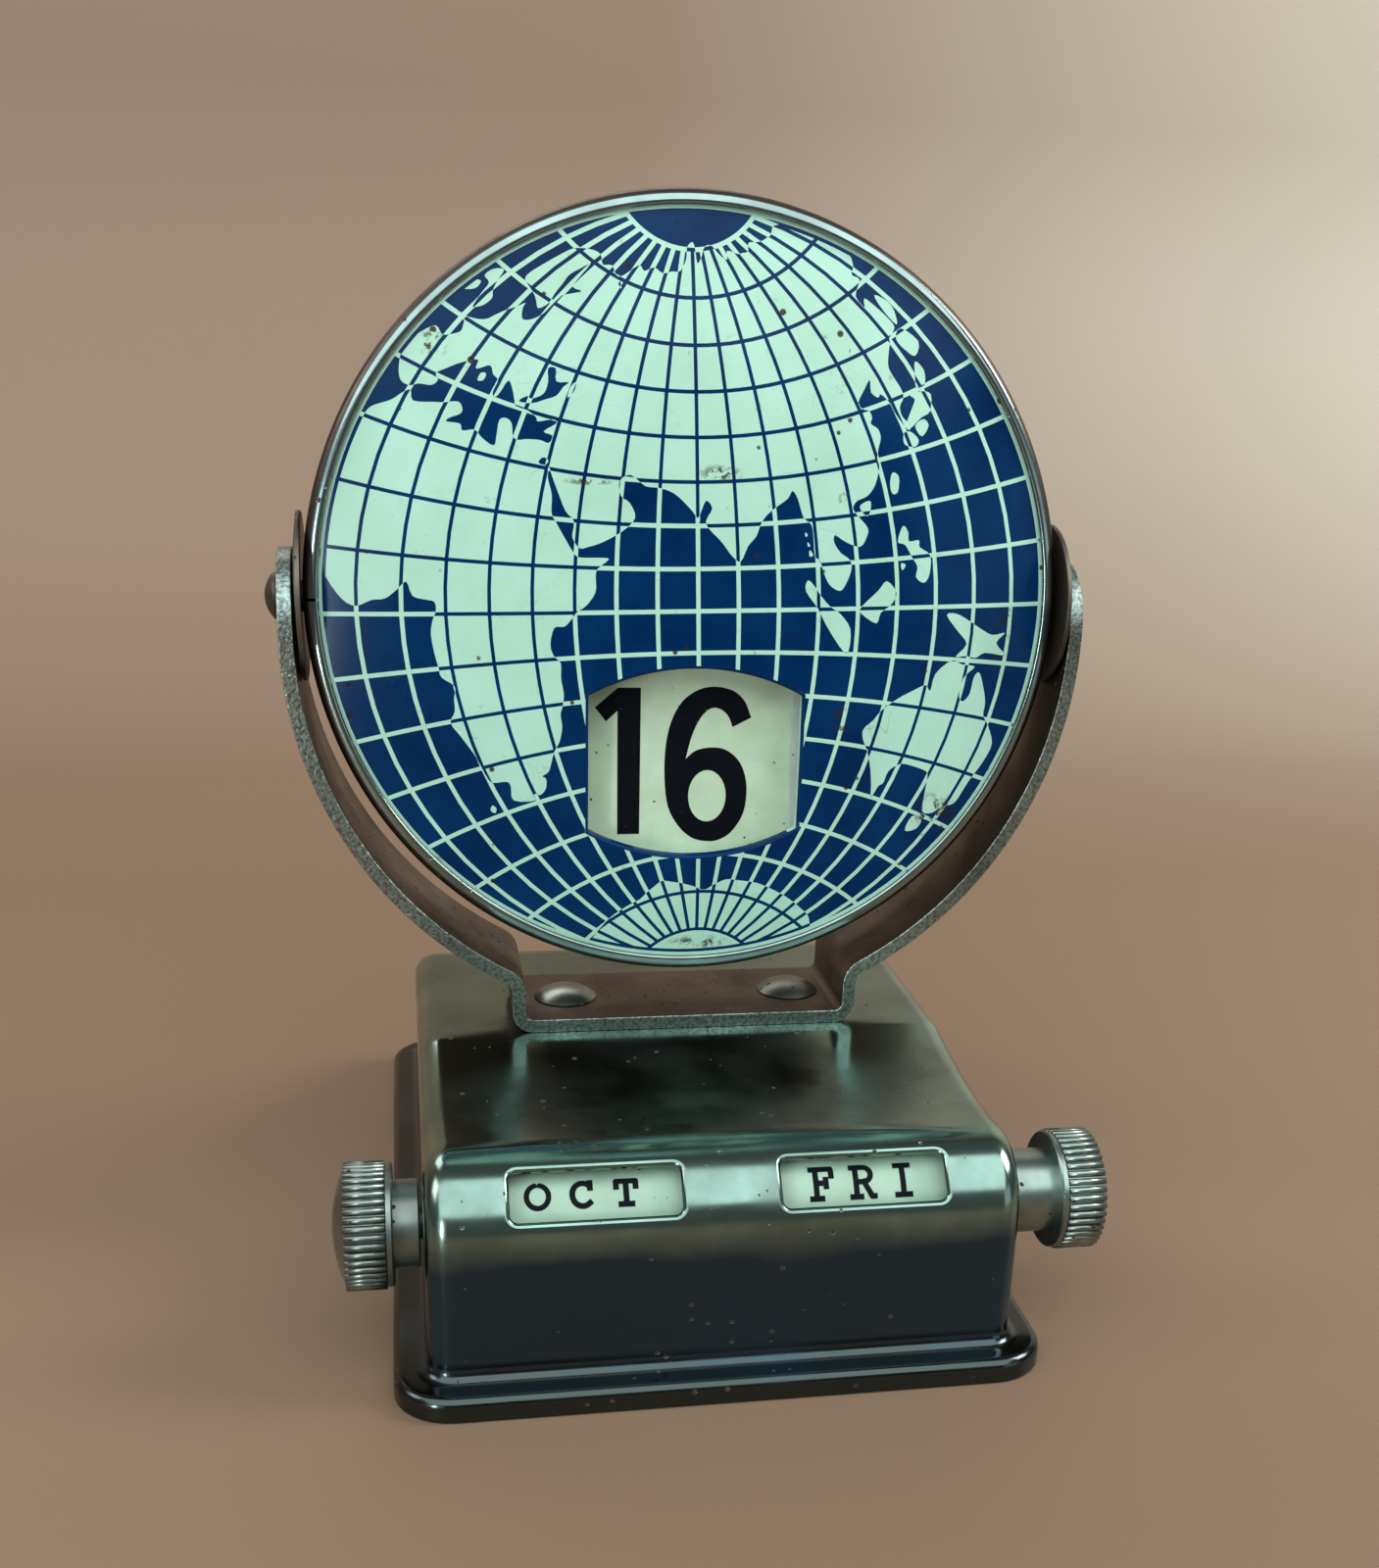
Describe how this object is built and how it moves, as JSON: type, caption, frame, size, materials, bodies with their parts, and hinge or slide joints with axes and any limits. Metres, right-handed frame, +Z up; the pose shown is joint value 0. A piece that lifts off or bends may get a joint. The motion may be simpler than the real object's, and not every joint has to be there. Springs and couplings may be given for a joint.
{
  "type": "perpetual desk calendar",
  "caption": "Desk calendar with a flip drum that shows the date, held in a yoke on a pressed metal base with knob-turned month and weekday rollers.",
  "frame": {"origin": "on the table, under the middle of the base's foot flange", "axes": "+Z up, +X to the right of someone who reads the calendar, -Y towards that reader; the drum and both rollers turn about axes along X"},
  "size_m": [0.082, 0.0864, 0.1051],
  "materials": {
    "base_chrome": "worn polished plate",
    "plate_steel": "dull sheet",
    "yoke_steel": "dull plate with sheared edges",
    "rivet_chrome": "polished",
    "band_chrome": "worn polished plate",
    "printed_tin": "gloss print",
    "cage_tin": "satin",
    "pin_steel": "dull",
    "washer_steel": "dark",
    "roller_white": "matt",
    "shaft_steel": "bright",
    "knob_chrome": "polished knurl",
    "tile_cream": "satin"
  },
  "bodies": {
    "base": {"base_shell": "base_chrome", "bottom_plate": "plate_steel", "roller_bracket": "plate_steel", "yoke": "yoke_steel", "rivet_left": "rivet_chrome", "rivet_right": "rivet_chrome"},
    "drum": {"rim_band": "band_chrome", "front_face": "printed_tin", "back_face": "printed_tin", "tile_cage": "cage_tin", "strap_left": "plate_steel", "strap_right": "plate_steel", "pin_left": "pin_steel", "pin_right": "pin_steel", "washer_left": "washer_steel", "washer_right": "washer_steel"},
    "date_tiles": {"tile_01": "tile_cream", "tile_02": "tile_cream", "tile_03": "tile_cream", "tile_04": "tile_cream", "tile_05": "tile_cream", "tile_06": "tile_cream", "tile_07": "tile_cream", "tile_08": "tile_cream", "tile_09": "tile_cream", "tile_10": "tile_cream", "tile_11": "tile_cream", "tile_12": "tile_cream", "tile_13": "tile_cream", "tile_14": "tile_cream", "tile_15": "tile_cream", "tile_16": "tile_cream"},
    "month_spindle": {"month_roller": "roller_white", "month_shaft": "shaft_steel", "month_knob": "knob_chrome"},
    "weekday_spindle": {"weekday_roller": "roller_white", "weekday_shaft": "shaft_steel", "weekday_knob": "knob_chrome"}
  },
  "joints": [
    {"name": "drum_turn", "type": "hinge", "parent": "base", "child": "drum", "pos_m": [0, -0.0028, 0.0677], "axis": [1, 0, 0], "continuous": true},
    {"name": "tile_slide", "type": "slide", "parent": "drum", "child": "date_tiles", "axis": [0, 0.0698, 0.9976], "range_m": [0, 0.0308]},
    {"name": "month_turn", "type": "hinge", "parent": "base", "child": "month_spindle", "pos_m": [-0.02, -0.0313, 0.0144], "axis": [1, 0, 0], "continuous": true},
    {"name": "weekday_turn", "type": "hinge", "parent": "base", "child": "weekday_spindle", "pos_m": [0.02, -0.0313, 0.0144], "axis": [1, 0, 0], "continuous": true}
  ]
}
